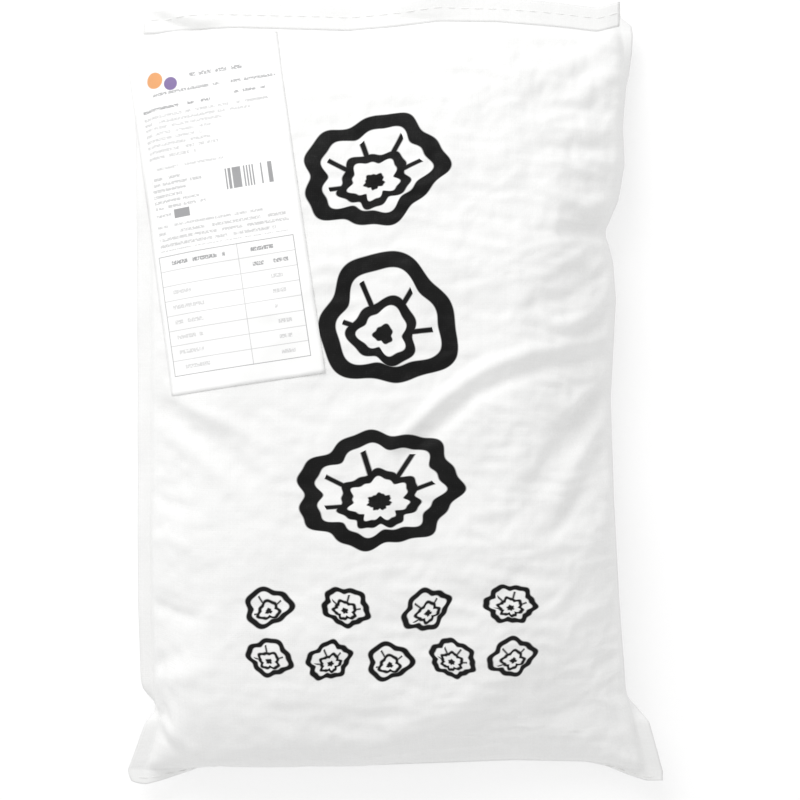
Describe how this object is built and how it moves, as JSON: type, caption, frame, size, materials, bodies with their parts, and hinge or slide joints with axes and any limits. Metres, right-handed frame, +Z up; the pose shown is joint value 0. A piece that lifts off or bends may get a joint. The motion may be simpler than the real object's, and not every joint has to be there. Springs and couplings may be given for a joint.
{
  "type": "filled woven sack",
  "caption": "Pillow-shaped woven sack stuffed with dried wood ear mushroom, sewn shut at both ends and lying on its back, with a paper label on its face.",
  "frame": {"origin": "on the surface the sack lies on, under the middle of its outline", "axes": "+Z up, out of the labelled face; +Y along the sack, towards its sewn mouth; +X across it, to the right of the labelled face read with the mouth at the top"},
  "size_m": [0.336, 0.485, 0.079],
  "materials": {
    "woven_cloth": "white woven polypropylene tape, satin",
    "label_paper": "smooth white paper",
    "seam_thread": "white spun thread"
  },
  "bodies": {
    "root": {"sack": "woven_cloth", "label": "label_paper", "top_seam_thread": "seam_thread", "bottom_seam_thread": "seam_thread"}
  },
  "joints": []
}
